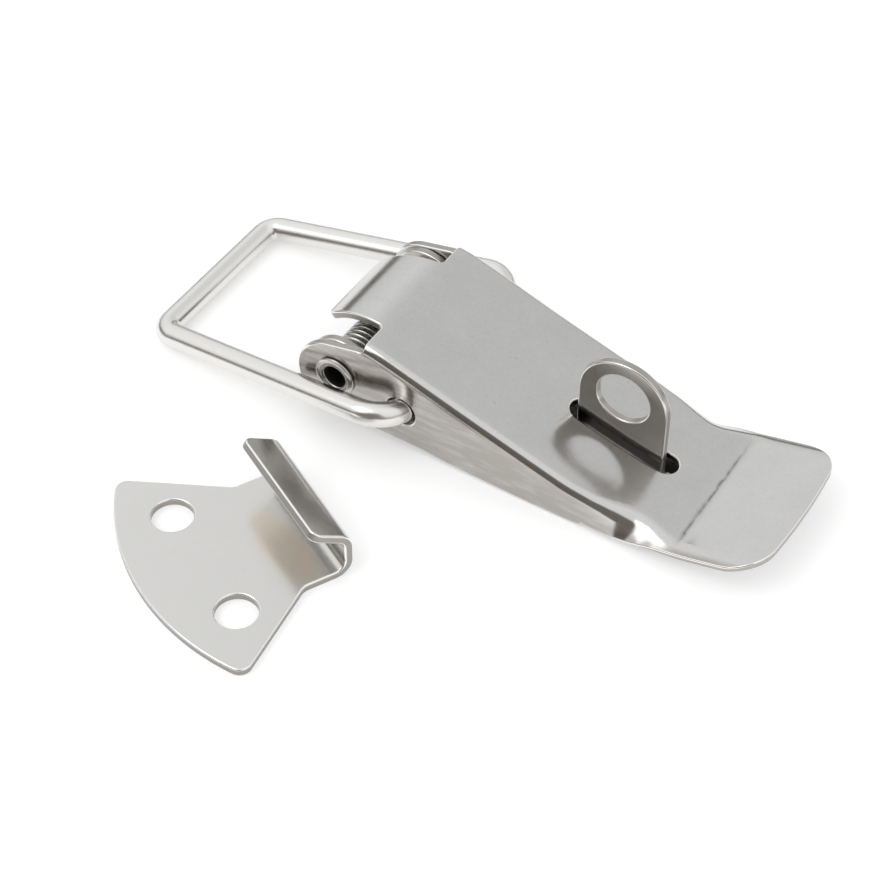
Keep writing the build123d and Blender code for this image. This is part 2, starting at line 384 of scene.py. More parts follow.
@dataclass
class Blank:
    """A flat piece of sheet with holes and softened edges, cut along lines so that it can be folded.

    Lengths are in millimetres. Its face lies in X and Y, and its outer side is at the top.
    """

    outline: list[Pair]
    holes: list[list[Pair]]
    soft: float = 0.26
    soft_steps: int = 2
    probe: float = 0.02
    slack: float = 1e-4
    weld: float = 0.002
    cut_slack: float = 1e-5
    cuts_x: Places = ()
    cuts_y: Places = ()

    def folded(
        self,
        name: str,
        outer: "Callable[[float, float], Vector]",
        under: bool = False,
        upright_from: float = 1e9,
    ) -> bpy.types.Object:
        """Cuts the blank, folds it and makes an object of it.

        Args:
            name: The piece's name.
            outer: Gives the place of a point of the outer side from its two flat coordinates.
            under: Whether the outer side faces down where the sheet lies flat.
            upright_from: From this X on, the sheet's thickness is measured in upright sections.

        Returns:
            The folded piece.
        """
        mesh = self._flat(name)
        work = bmesh.new()
        work.from_mesh(mesh)
        bmesh.ops.remove_doubles(work, verts=work.verts, dist=self.weld)
        for axis, cuts in ((Vector((1, 0, 0)), self.cuts_x), (Vector((0, 1, 0)), self.cuts_y)):
            for cut in cuts:
                parts = [*work.verts, *work.edges, *work.faces]
                bmesh.ops.bisect_plane(
                    work, geom=parts, dist=self.cut_slack, plane_co=axis * cut, plane_no=axis
                )
        work.normal_update()
        half, way, step = SHEET / 2, -1.0 if under else 1.0, self.probe
        rim = work.verts.layers.float.new(RIM)
        normals: list[Vector] = []
        for vert in work.verts:
            x, y, z = vert.co
            flat = self._flat_normal(vert.normal, z)
            along = outer(x + step, y) - outer(x - step, y)
            over = outer(x, y + step) - outer(x, y - step)
            face = along.cross(over).normalized()
            down = face if x < upright_from else Vector((1, 0, 0)).cross(over).normalized()
            vert.co = (outer(x, y) - down * (half - z) * way) * MM
            first = along.normalized()
            normals.append((first * flat.x + face.cross(first) * flat.y + face * flat.z * way).normalized())
            vert[rim] = 1.0 - abs(flat.z)
        if under:
            bmesh.ops.reverse_faces(work, faces=work.faces)
        for face in work.faces:
            face.smooth = True
        work.to_mesh(mesh)
        work.free()
        mesh.normals_split_custom_set_from_vertices(normals)
        return placed(name, mesh)

    def _flat_normal(self, seen: Vector, z: float) -> Vector:
        """The normal of the unfolded blank at one of its points.

        Args:
            seen: The mesh's own normal there.
            z: The point's height in the blank.

        Returns:
            The face's normal on a face, the edge's on an edge, and one between on the softened rim.
        """
        half = SHEET / 2
        sign = 1.0 if z > 0 else -1.0
        if abs(z) > half - self.slack:
            return Vector((0, 0, sign))
        level = Vector((seen.x, seen.y, 0)).normalized()
        if abs(z) < half - self.soft + self.slack:
            return level
        lean = math.acos(min(1.0, max(0.0, (abs(z) - half + self.soft) / self.soft)))
        return level * math.sin(lean) + Vector((0, 0, sign)) * math.cos(lean)

    def _flat(self, name: str) -> bpy.types.Mesh:
        """Fills the outline as a flat plate with softened edges.

        Args:
            name: The mesh's name.

        Returns:
            The plate's mesh, in millimetres.
        """
        curve = bpy.data.curves.new(name + "_blank", "CURVE")
        curve.dimensions = "2D"
        curve.fill_mode = "BOTH"
        curve.extrude = SHEET / 2 - self.soft
        curve.bevel_depth = self.soft
        curve.bevel_resolution = self.soft_steps
        curve.offset = -self.soft
        for loop in (self.outline, *self.holes):
            spline = curve.splines.new("POLY")
            spline.points.add(len(loop) - 1)
            for point, (x, y) in zip(spline.points, loop):
                point.co = (x, y, 0.0, 1.0)
            spline.use_cyclic_u = True
        holder = bpy.data.objects.new(name + "_blank", curve)
        mesh = bpy.data.meshes.new_from_object(holder)
        mesh.name = name
        bpy.data.objects.remove(holder)
        bpy.data.curves.remove(curve)
        return mesh


def ring_faces(rings: int, sides: int, closed: bool = False) -> list[tuple[int, ...]]:
    """Faces that join rings of vertices, one ring to the next.

    Args:
        rings: How many rings there are.
        sides: How many vertices each has.
        closed: Whether the last ring joins the first.

    Returns:
        The faces.
    """
    spans = rings if closed else rings - 1
    return [
        (a * sides + k, a * sides + (k + 1) % sides, b * sides + (k + 1) % sides, b * sides + k)
        for a, b in ((r, (r + 1) % rings) for r in range(spans))
        for k in range(sides)
    ]


def finished(
    name: str, verts: list[Vector], faces: list[tuple[int, ...]], flat_weight: int = 80
) -> bpy.types.Object:
    """Puts a mesh in the scene, smooth but with normals that keep its flat faces flat.

    Args:
        name: The object's name.
        verts: The mesh's vertices, in metres.
        faces: Its faces.
        flat_weight: How much larger faces count in the normals.

    Returns:
        The new object.
    """
    mesh = bpy.data.meshes.new(name)
    mesh.from_pydata(verts, [], faces)
    work = bmesh.new()
    work.from_mesh(mesh)
    bmesh.ops.recalc_face_normals(work, faces=work.faces)
    for face in work.faces:
        face.smooth = True
    work.to_mesh(mesh)
    work.free()
    piece = placed(name, mesh)
    weigh = piece.modifiers.new("flat_faces", "WEIGHTED_NORMAL")
    weigh.mode = "FACE_AREA"
    weigh.weight = flat_weight
    return piece


def rod(name: str, path: list[Vector], radius: float, sides: int, end_round: float) -> bpy.types.Object:
    """A round wire along a path, with rounded ends.

    Args:
        name: The piece's name.
        path: Points of its centre line, in millimetres.
        radius: The wire's radius, in millimetres.
        sides: How many flats it has round it.
        end_round: The radius of its ends' rim, in millimetres.

    Returns:
        The wire.
    """
    rim = [(end_round * (1 - math.sin(a)), end_round * (1 - math.cos(a))) for a in END_RIM_ANGLES]
    first, last = (path[1] - path[0]).normalized(), (path[-1] - path[-2]).normalized()
    rows = [(path[0] + first * back, first, radius - inset) for back, inset in reversed(rim)]
    for before, point, after in zip(path, path[1:], path[2:]):
        rows.append((point, (after - before).normalized(), radius))
    rows += [(path[-1] - last * back, last, radius - inset) for back, inset in rim]
    across = first.orthogonal().normalized()
    verts: list[Vector] = []
    for point, along, size in rows:
        across = (across - along * across.dot(along)).normalized()
        side = along.cross(across)
        for k in range(sides):
            turn = 2 * math.pi * k / sides
            verts.append((point + (across * math.cos(turn) + side * math.sin(turn)) * size) * MM)
    faces = ring_faces(len(rows), sides)
    faces.append(tuple(reversed(range(sides))))
    faces.append(tuple((len(rows) - 1) * sides + k for k in range(sides)))
    return finished(name, verts, faces)


def spun(name: str, profile: list[Pair], height: float, sides: int = 72) -> bpy.types.Object:
    """A ring-shaped piece turned about an axis along Y.

    Args:
        name: The piece's name.
        profile: Closed outline of its section, as pairs of Y and radius, in millimetres.
        height: The axis's height, in millimetres.
        sides: How many flats it has round it.

    Returns:
        The turned piece.
    """
    verts = [
        Vector((r * math.cos(a), y, height + r * math.sin(a))) * MM
        for a in (2 * math.pi * k / sides for k in range(sides))
        for y, r in profile
    ]
    return finished(name, verts, ring_faces(sides, len(profile), closed=True))


# --- Finishes ---


@dataclass(frozen=True)
class CreaseMark:
    """A shallow line that the press left in the sheet, along a line of one X between two Y. Its dent is
    real; its darker colour is painted shade in the crease.
    """

    at_x: float
    from_y: float
    to_y: float
    width: float
    depth: float
    # How much the line's colour darkens, as painted shade in the crease.
    dark: float
    wander: float = 0.5
    wander_size: float = 2.2
    wear_size: float = 1.1
    wear_gain: float = 2.0
    wear_least: float = 0.2
    start_fade: float = 0.5
    end_fade: float = 0.16

    def mask(self, mat: Shader, place: Sock) -> Sock:
        """Where the line is.

        Args:
            mat: The shader.
            place: The coordinates, in metres.

        Returns:
            1 in the middle of the line and 0 away from it.
        """
        x, y = mat.millimetres(place, "XY")
        wander = (mat.noise(place, self.wander_size, 1.0) - 0.5) * self.wander
        line = (1.0 - (x - self.at_x + wander).absolute() * (1.0 / self.width)).clamp()
        start = ((y - self.from_y) * self.start_fade).clamp()
        end = ((self.to_y - y) * self.end_fade).clamp()
        worn = (mat.noise(place, self.wear_size, 2.0) * self.wear_gain - self.wear_least).clamp()
        return line * line * start * end * worn


@dataclass(frozen=True)
class WarmReflectionPatch:
    """A faint straw-coloured patch in the hollow of a bend: a painted warm reflection of the surroundings.
    """

    centre: Triple
    turn: float
    size: Triple
    tint: Triple
    strength: float
    ragged: float = 0.35
    ragged_size: float = 1.6
    reach: float = 1.15
    fade: float = 2.5

    def mask(self, mat: Shader, place: Sock) -> Sock:
        """Where the patch is.

        Args:
            mat: The shader.
            place: The coordinates, in metres.

        Returns:
            The patch's strength in its middle, falling softly to 0.
        """
        laid = mat.node(
            "ShaderNodeMapping",
            {"vector_type": "TEXTURE"},
            {
                "Vector": place,
                "Location": tuple(c * MM for c in self.centre),
                "Rotation": (0.0, 0.0, math.radians(self.turn)),
                "Scale": tuple(c * MM for c in self.size),
            },
        )
        away = mat.node("ShaderNodeVectorMath", {"operation": "LENGTH"}, {0: laid}, out="Value")
        ragged = mat.noise(place, self.ragged_size, 2.0) * self.ragged
        return ((self.reach - away - ragged) * self.fade).clamp() * self.strength


@dataclass(frozen=True)
class SideSkinAndShade:
    """The duller, warmer skin on a channel's sides, away from its middle: partly skin that drawing leaves
    and partly painted shade on sides that face away from the light.
    """

    starts: float
    full: float
    tint: Triple
    pull: Triple = (0.25, 1.0, 1.4)
    streak_size: float = 0.9
    streak_gain: float = 1.6
    streak_least: float = 0.1

    def mask(self, mat: Shader, place: Sock) -> Sock:
        """Where the sides are.

        Args:
            mat: The shader.
            place: The coordinates, in metres.

        Returns:
            0 on the top and up to 1 on the sides, streaky along them.
        """
        (y,) = mat.millimetres(place, "Y")
        side = ((y.absolute() - self.starts) * (1 / (self.full - self.starts))).clamp()
        streaks = mat.noise(mat.stretched(place, self.pull), self.streak_size, 3.0)
        return side * (streaks * self.streak_gain + self.streak_least).clamp()


@dataclass(frozen=True)
class SlotShade:
    """The dark, rough cut of a narrow slot that lies along the middle, between two X; its darkness is
    painted shade inside the slot.
    """

    half_width: float
    start_x: float
    end_x: float
    tint: Triple
    fade: float = 4.0

    def mask(self, mat: Shader, place: Sock) -> Sock:
        """Where the cut is.

        Args:
            mat: The shader.
            place: The coordinates, in metres.

        Returns:
            1 on the slot's cut and 0 away from it.
        """
        x, y = mat.millimetres(place, "XY")
        across = ((self.half_width - y.absolute()) * self.fade).clamp()
        return across * (self.end_x - x).clamp() * (x - self.start_x).clamp()


@dataclass(frozen=True)
class EyeFootShadeLine:
    """Painted shade: a dark line across the foot of the eye where it passes through the lever's slot, on a
    slope along X.
    """

    at_x: float
    at_z: float
    slope: float
    below: float
    above: float
    half_thick: float
    tint: Triple
    ragged: float = 0.3
    ragged_size: float = 1.2
    upper_fade: float = 2.2
    lower_fade: float = 1.6
    side_fade: float = 10.0
    strength: float = 0.93

    def mask(self, mat: Shader, place: Sock) -> Sock:
        """Where the line is.

        Args:
            mat: The shader.
            place: The coordinates, in metres.

        Returns:
            Up to its strength on the line and 0 away from it.
        """
        x, y, z = mat.millimetres(place, "XYZ")
        lift = z - (x - self.at_x) * self.slope - self.at_z
        lift = lift + (mat.noise(place, self.ragged_size, 2.0) - 0.5) * self.ragged
        upper = ((self.above - lift) * self.upper_fade).clamp()
        lower = ((lift + self.below) * self.lower_fade).clamp()
        inside = ((self.half_thick - y.absolute()) * self.side_fade).clamp()
        return upper * lower * inside * self.strength


@dataclass(frozen=True)
class MetalFinish:
    """A bare metal surface: its tint, gloss, grain, blotches, fine scratches, bright cut rims (partly
    painted highlight) and darker cut walls (partly painted shade).
    """

    name: str
    tint: Triple
    rough: float
    shade: float = 0.06
    rough_spread: float = 0.08
    grain_size: float = 0.16
    grain_depth: float = 0.0006 * MM
    blotch_size: float = 5.0
    scratch: float = 0.05
    # How light the cut rims are: partly brighter tumbled edges, partly painted highlight on the rounded
    # edge.
    rim: float = 0.92
    # The cut walls' darker colour: partly a duller cut, partly painted shade.
    wall: Triple = (0.43, 0.41, 0.385)
    wall_rough: float = 0.34
    rim_gain: float = 5.0
    wall_gain: float = 2.6
    wall_start: float = 1.5
    cloud_size: float = 1.1
    mottle_shares: Triple = (0.35, 0.45, 0.2)
    speck_share: float = 0.8
    speck_size: float = 0.45
    speck_level: float = 0.66
    speck_gain: float = 9.0
    speck_spread: float = 3.0
    scratch_ways: Stations = ((0.5, 0.07), (-1.1, 0.09))
    scratch_length: float = 2.6
    scratch_level: float = 0.64
    scratch_gain: float = 8.0
    crease_shade_tone: float = 0.25
    crease: "CreaseMark | None" = None
    # Painted warm reflection in the hollow of a bend.
    warm_reflection: "WarmReflectionPatch | None" = None
    # Partly a duller skin on the sides and partly painted shade.
    side_skin_and_shade: "SideSkinAndShade | None" = None
    # Painted shade on the walls inside a slot.
    slot_shade: "SlotShade | None" = None
    # Painted shade on the eye's foot, where it passes through the lever's slot.
    eye_foot_shade: "EyeFootShadeLine | None" = None

    def material(self) -> bpy.types.Material:
        """Builds the finish as nodes.

        Returns:
            The material.
        """
        mat = Shader.material(self.name)
        place = mat.node("ShaderNodeTexCoord", out="Object")
        grain = mat.noise(place, self.grain_size, 3.0)
        blotch = mat.noise(place, self.blotch_size, 3.0)
        scratch = self._scratches(mat, place)
        edge = mat.node("ShaderNodeAttribute", {"attribute_name": RIM}, out="Fac")
        rim, wall = (edge * self.rim_gain).clamp(), (edge * self.wall_gain - self.wall_start).clamp()
        cloud = mat.noise(place, self.cloud_size, 3.0)
        coarse, fine, cloudy = self.mottle_shares
        mottle = blotch * coarse + grain * fine + cloud * cloudy
        mottle = (mottle - self._specks(mat, place) * self.speck_share).clamp()
        colour = mat.mix(mottle, self._scaled(1 - self.shade), self._scaled(1 + self.shade))
        # Marks painted into the colour: the sides' duller skin with painted shade, the painted shade at the
        # eye's foot and the painted warm reflection by the hook.
        for mark in (self.side_skin_and_shade, self.eye_foot_shade, self.warm_reflection):
            if mark:
                colour = mat.mix(mark.mask(mat, place), colour, (*mark.tint, 1.0))
        # Lighter rims: partly a brighter tumbled edge and partly a painted highlight.
        colour = mat.mix(rim, colour, self._scaled(self.rim / max(self.tint)))
        # Darker cut walls: partly a duller cut and partly painted shade; inside the slot, darker painted
        # shade still.
        cut = (*self.wall, 1.0)
        if self.slot_shade:
            cut = mat.mix(self.slot_shade.mask(mat, place), cut, (*self.slot_shade.tint, 1.0))
        colour = mat.mix(wall, colour, cut)
        rough = (grain - 0.5) * self.rough_spread + (blotch - 0.5) * self.rough_spread + self.rough
        rough = rough + scratch * self.scratch + wall * (self.wall_rough - self.rough)
        height = grain * self.grain_depth - scratch * self.grain_depth
        # The crease's dent is real; its darker colour is painted shade.
        if self.crease:
            line = self.crease.mask(mat, place)
            colour = mat.mix(line * self.crease.dark, colour, self._scaled(self.crease_shade_tone))
            height = height - line * self.crease.depth
        relief = {"Height": height, "Strength": 1.0, "Distance": 1.0}
        inputs = {
            "Base Color": colour,
            "Metallic": 1.0,
            "Roughness": rough.clamp(),
            "Normal": mat.node("ShaderNodeBump", {}, relief, out="Normal"),
        }
        return mat.surface(mat.node("ShaderNodeBsdfPrincipled", {}, inputs))

    def _scaled(self, factor: float) -> Quad:
        """The tint made lighter or darker, as a colour."""
        red, green, blue = (min(1.0, channel * factor) for channel in self.tint)
        return red, green, blue, 1.0

    def _specks(self, mat: Shader, place: Sock) -> Sock:
        """1 on a sparse dark speck, as handling and tumbling leave them, and 0 elsewhere."""
        specks = (mat.noise(place, self.speck_size, 2.0) - self.speck_level) * self.speck_gain
        return specks.clamp() * mat.noise(place, self.speck_spread, 1.0)

    def _scratches(self, mat: Shader, place: Sock) -> Sock:
        """Fine short scratches in two directions.

        Args:
            mat: The shader.
            place: The coordinates.

        Returns:
            1 on a scratch and 0 elsewhere.
        """
        found: "Sock | None" = None
        for turn, thin in self.scratch_ways:
            laid = mat.node("ShaderNodeVectorRotate", {}, {"Vector": place, "Angle": turn})
            pulled = mat.stretched(laid, (1 / (self.scratch_length * MM), 1 / (thin * MM), 1 / (thin * MM)))
            streaks = mat.node("ShaderNodeTexNoise", {}, {"Vector": pulled, "Scale": 1.0})
            lines = ((streaks - self.scratch_level) * self.scratch_gain).clamp()
            found = lines if found is None else (found + lines).clamp()
        return found


class Finish(Enum):
    """The latch's finishes."""

    LEVER_SHEET = MetalFinish(
        "lever_sheet",
        (0.61, 0.607, 0.597),
        0.165,
        shade=0.13,
        grain_size=0.3,
        # Sides darker and warmer: partly duller skin, partly painted shade.
        side_skin_and_shade=SideSkinAndShade(starts=11.5, full=12.1, tint=(0.42, 0.40, 0.37)),
        # Painted shade inside the slot.
        slot_shade=SlotShade(half_width=2.2, start_x=8.0, end_x=48.0, tint=(0.10, 0.09, 0.08)),
        # A real shallow crease, its colour darkened as painted shade.
        crease=CreaseMark(at_x=50.2, from_y=-11.3, to_y=10.5, width=0.6, depth=0.05 * MM, dark=0.9),
    )
    # Painted shade: the base and its eye are the lever's satin sheet given a darker tint, for the shade
    # under and around the lever.
    BASE_SHEET = MetalFinish("base_sheet", (0.50, 0.48, 0.45), 0.24, shade=0.12, blotch_size=3.0, rim=0.8)
    EYE_SHEET = MetalFinish(
        "eye_sheet",
        (0.50, 0.48, 0.45),
        0.2,
        shade=0.12,
        grain_depth=0.0003 * MM,
        blotch_size=3.0,
        rim=0.8,
        # Painted shade: a dark band on the eye's foot, in the gap of the lever's slot.
        eye_foot_shade=EyeFootShadeLine(
            at_x=31.5,
            at_z=7.0,
            slope=-0.272,
            below=1.7,
            above=0.8,
            half_thick=0.75,
            tint=(0.035, 0.031, 0.027),
        ),
    )
    CATCH_SHEET = MetalFinish(
        "catch_sheet",
        (0.70, 0.695, 0.68),
        0.21,
        shade=0.06,
        grain_size=0.3,
        rim=0.95,
        # Darker cut walls, partly painted shade.
        wall=(0.34, 0.32, 0.30),
        # Painted warm reflection by the foot of the hook.
        warm_reflection=WarmReflectionPatch(
            centre=(7.6, -35.9, 1.0), turn=62.0, size=(3.5, 8.8, 3.0), tint=(0.78, 0.67, 0.55), strength=0.65
        ),
    )
    BRIGHT_WIRE = MetalFinish(
        "bright_wire",
        (0.79, 0.78, 0.76),
        0.24,
        shade=0.03,
        grain_depth=0.0001 * MM,
        blotch_size=2.5,
        rough_spread=0.04,
    )
    SPRING_WIRE = MetalFinish("spring_wire", (0.50, 0.49, 0.47), 0.26, blotch_size=1.5)
    RIVET_STEEL = MetalFinish("rivet_steel", (0.58, 0.56, 0.53), 0.2, blotch_size=1.5)


# --- Sub-assemblies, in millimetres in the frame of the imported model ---


@dataclass
class Lever:
    """The folded lever: ears, tongue, channel with a slot and thumb tab.

    Places along the lever are X. A station pairs one with a value there: the top line's height, how much
    wider the channel grows on each side, the shoulder's radius and the angle that it turns, the height of
    the skirt's lower edge, and in the flank the tab's half width. A hole is its X, its height and its
    radius, the slot its two ends and half its width, the tail its X, half its width and its corner's
    radius, the tail's bow its depth and half its width, and each run of cuts its start, end and step.
    """

    half_width: float = 12.2
    ear_centre: Pair = (-0.2, 6.9)
    ear_radius: float = 5.9
    root: Pair = (4.2, 14.95)
    ear_shoulder: float = 14.0
    nose_start: float = 272.0
    nose_points: int = 12
    notch_radius: float = 0.7
    notch_drop: float = 0.25
    notch_gap: float = 0.15
    notch_lead: Pair = (2.0, 0.6)
    tongue_tip: Pair = (-5.3, 11.7)
    tongue_radius: float = 11.9
    tongue_halves: Pair = (7.3, 6.4)
    tongue_corner: float = 1.4
    tongue_reach: float = 9.3
    rivet_hole: Triple = (0.0, PIVOT_HEIGHT, 2.05)
    bail_hole: Triple = (10.0, HOLE_HEIGHT, 2.2)
    slot: Triple = (28.65, 44.45, 1.7)
    flank: Stations = (
        (37.0, 12.2), (42.0, 12.42), (46.5, 12.55), (52.0, 12.56), (57.05, 12.5),
    )
    tail: Triple = (62.35, 12.5, 5.3)
    tail_bow: Pair = (0.3, 7.2)
    tail_step: float = 0.8
    crown_reach: float = 3.2
    crown_curve: float = 0.011
    crown_ramps: Stations = ((12.0, 18.0), (40.0, 34.0))
    top: Stations = (
        (4.2, 14.95), (5.3, 14.79), (6.8, 14.44), (8.5, 13.94), (12.0, 12.87), (18.0, 11.05), (26.0, 8.64),
        (31.5, 7.0), (35.0, 6.0), (38.5, 5.08), (41.0, 4.55), (43.5, 4.15), (45.5, 3.88), (47.5, 3.7),
        (49.7, 3.6), (50.7, 3.68), (52.5, 4.05), (57.5, 5.25), (63.0, 6.55),
    )
    spread: Stations = (
        (0.0, 0.0), (35.0, 0.0), (38.5, 0.1), (41.0, 0.25), (43.5, 0.45), (45.5, 0.65), (47.5, 0.8),
        (63.0, 0.78),
    )
    shoulder: Stations = (
        (0.0, 1.5), (35.0, 1.5), (38.5, 1.7), (41.0, 2.2), (43.5, 3.0), (45.5, 3.8), (47.5, 4.5),
        (50.7, 5.0), (63.0, 5.0),
    )
    turn: Stations = (
        (0.0, 90), (34.0, 90), (38.0, 84), (40.5, 74), (42.5, 60), (44.0, 47.5), (45.5, 38.5),
        (47.5, 30.5), (49.7, 24.5), (52.5, 20), (63.0, 20),
    )
    edge: Stations = (
        (0.0, 1.1), (8.5, 1.15), (31.5, 0.5), (35.0, 0.5), (38.5, 0.55), (41.0, 0.65), (43.5, 1.05),
        (45.5, 1.6), (47.5, 2.2), (49.7, 2.7), (52.5, 3.35), (57.5, 4.55), (63.0, 5.85),
    )
    skirt_points: int = 110
    skirt_gap: float = 0.3
    upright_below: float = 0.02
    cuts_along: tuple[Triple, ...] = (
        (-5.0, 9.0, 0.6), (11.0, 31.0, 4.0), (33.0, 40.4, 0.6), (40.7, 45.0, 0.25), (45.3, 49.0, 0.5),
        (49.25, 51.5, 0.3), (52.0, 61.5, 0.9),
    )
    cuts_middle: Triple = (-7.5, 7.5, 2.5)
    cuts_bend: Triple = (8.9, 14.6, 0.38)

    def __post_init__(self) -> None:
        """Turns the stations into curves and finds the tongue's centre of curvature."""
        self.top_at, self.spread_at, self.shoulder_at = map(Table, (self.top, self.spread, self.shoulder))
        self.turn_at, self.edge_at, self.flank_at = map(Table, (self.turn, self.edge, self.flank))
        self.sections: dict[float, Quad] = {}
        tip, root = Vector(self.tongue_tip), Vector(self.root)
        chord = root - tip
        sagitta = math.sqrt(self.tongue_radius**2 - (chord.length / 2) ** 2)
        self.tongue_centre = (tip + root) / 2 + Vector((chord.y, -chord.x)).normalized() * sagitta

    def height(self, x: float, s: float) -> float:
        """Height of the sheet's top line: the tongue's arc in front of its root, elsewhere the channel's.

        Args:
            x: Place along the lever.
            s: Place across it, along the sheet.

        Returns:
            The height.
        """
        if x < self.root[0] and abs(s) < self.tongue_reach:
            centre = self.tongue_centre
            return centre.y + math.sqrt(max(0.0, self.tongue_radius**2 - (x - centre.x) ** 2))
        return self.top_at(x)

    def section(self, x: float) -> Quad:
        """The channel's section at one place along the lever, kept once it is worked out.

        Args:
            x: The place.

        Returns:
            The flat's half width, the shoulder's radius, the angle that it turns and where the skirt ends
            along the sheet.
        """
        if x not in self.sections:
            radius, angle = self.shoulder_at(x), math.radians(self.turn_at(x))
            rise = self.top_at(x) - radius * (1 - math.cos(angle)) - self.edge_at(x)
            skirt = rise / math.sin(angle)
            flat = self.half_width + self.spread_at(x) - radius * math.sin(angle) - skirt * math.cos(angle)
            self.sections[x] = (flat, radius, angle, flat + radius * angle + skirt)
        return self.sections[x]

    def across(self, x: float, y: float) -> float:
        """Place along the sheet of a point of its outer side at one Y, on the +Y side.

        Args:
            x: Place along the lever.
            y: Distance from its middle.

        Returns:
            The place along the sheet.
        """
        flat, radius, angle, end = self.section(x)
        if y <= flat:
            return y
        if y < flat + radius * math.sin(angle):
            return flat + radius * math.asin((y - flat) / radius)
        if math.cos(angle) < self.upright_below:
            return end
        return flat + radius * angle + (y - flat - radius * math.sin(angle)) / math.cos(angle)

    def down(self, x: float, z: float) -> float:
        """Place along the sheet of a point at one height in the upright skirts."""
        flat, radius, angle, _ = self.section(x)
        return flat + radius * angle + self.top_at(x) - radius - z

    def outer(self, x: float, s: float) -> Vector:
        """A point of the folded sheet's outer side.

        Args:
            x: Place along the lever.
            s: Place across it, along the sheet.

        Returns:
            The point.
        """
        flat, radius, angle, _ = self.section(x)
        out, fall = bent(abs(s), flat, radius, angle)
        fall += self._crown_drop(x, min(abs(s) - flat, radius * angle))
        return Vector((x, math.copysign(out, s), self.height(x, s) - fall))

    def _crown_drop(self, x: float, past: float) -> float:
        """How far the top's slight crown lets the sheet fall towards its shoulders.

        Args:
            x: Place along the lever.
            past: Place across, along the sheet from the shoulder's start, up to its end.

        Returns:
            The fall.
        """
        share = math.prod(eased(x, none, full) for none, full in self.crown_ramps)
        wide = self.crown_reach
        fall = max(0.0, past + wide) ** 2 if past <= 0 else wide**2 + 2 * wide * past
        return share * self.crown_curve * fall

    def _half_outline(self) -> list[Pair]:
        """The blank's edge on the +Y side, from the middle of the tail round to the tongue's tip.

        Returns:
            Its points, as places along the lever and across the sheet.
        """
        tail_x, tail_half, corner = self.tail
        bow, bow_half = self.tail_bow
        plan = [(tail_x - bow * (y / bow_half) ** 2, y) for y in spaced(0, bow_half, self.tail_step)]
        plan += arc_points((tail_x - bow - corner, tail_half - corner), corner, 2, 90)
        points = [(x, self.across(x, y)) for x, y in plan]
        for x in self._steps():
            end = self.section(x)[3]
            if x > self.flank[0][0]:
                end = min(end, self.across(x, self.flank_at(x)))
            points.append((x, end))
        points += [(x, self.down(x, z)) for x, z in self._nose()]
        return points + self._notch()

    def _steps(self) -> list[float]:
        """Places along the skirt's edge, from the tab to the ear."""
        start, count = self.tail[0] - self.tail_bow[0] - self.tail[2] - self.skirt_gap, self.skirt_points
        return [start - start * i / count for i in range(count + 1)]

    def _nose(self) -> list[Pair]:
        """The ear's edge round its nose and up to the notch.

        Returns:
            Its points, as X and Z.
        """
        (cx, cz), radius, count = self.ear_centre, self.ear_radius, self.nose_points
        far = Vector((self.root[0] - cx, self.ear_shoulder - cz))
        lean = math.degrees(math.atan2(far.y, far.x) + math.acos(radius / far.length))
        nose = arc_points((cx, cz), radius, self.nose_start, lean, 4)
        start = Vector(nose[-1])
        end = Vector((self.root[0] - self.notch_radius, self.ear_shoulder - self.notch_drop))
        return nose + [tuple(start.lerp(end, i / count)) for i in range(1, count + 1)]

    def _notch(self) -> list[Pair]:
        """The notch between ear and tongue and the tongue's edge.

        Returns:
            Their points, as places along the lever and across the sheet.
        """
        root_x, tip_x = self.root[0], self.tongue_tip[0]
        ear_s = self.down(root_x, self.ear_shoulder) + self.notch_gap
        wide, slim = self.tongue_halves
        notch = [
            (root_x - self.notch_lead[0], ear_s + self.notch_lead[1], 0.0),
            (root_x, ear_s, self.notch_radius),
            (root_x, wide, self.notch_radius),
            (tip_x, slim, self.tongue_corner),
            (tip_x, 0.0, 0.0),
        ]
        return rounded(notch, closed=False)[1:-1]

    def build(self) -> bpy.types.Object:
        """Folds the lever.

        Returns:
            The lever.
        """
        half = self._half_outline()
        front, rear, reach = self.slot
        slot = arc_points((rear - reach, 0), reach, -90, 90) + arc_points((front + reach, 0), reach, 90, 270)
        holes = [slot]
        for x0, z0, radius in (self.rivet_hole, self.bail_hole):
            ring = [(x, self.down(x, z)) for x, z in circle_points((x0, z0), radius)]
            holes += [ring, mirrored(ring)]
        blank = Blank(
            half + mirrored(half[1:]),
            holes,
            cuts_x=tuple(x for run in self.cuts_along for x in spaced(*run)),
            cuts_y=both_sides(spaced(*self.cuts_middle), spaced(*self.cuts_bend)),
        )
        return blank.folded("lever_body", self.outer, upright_from=self.root[0])


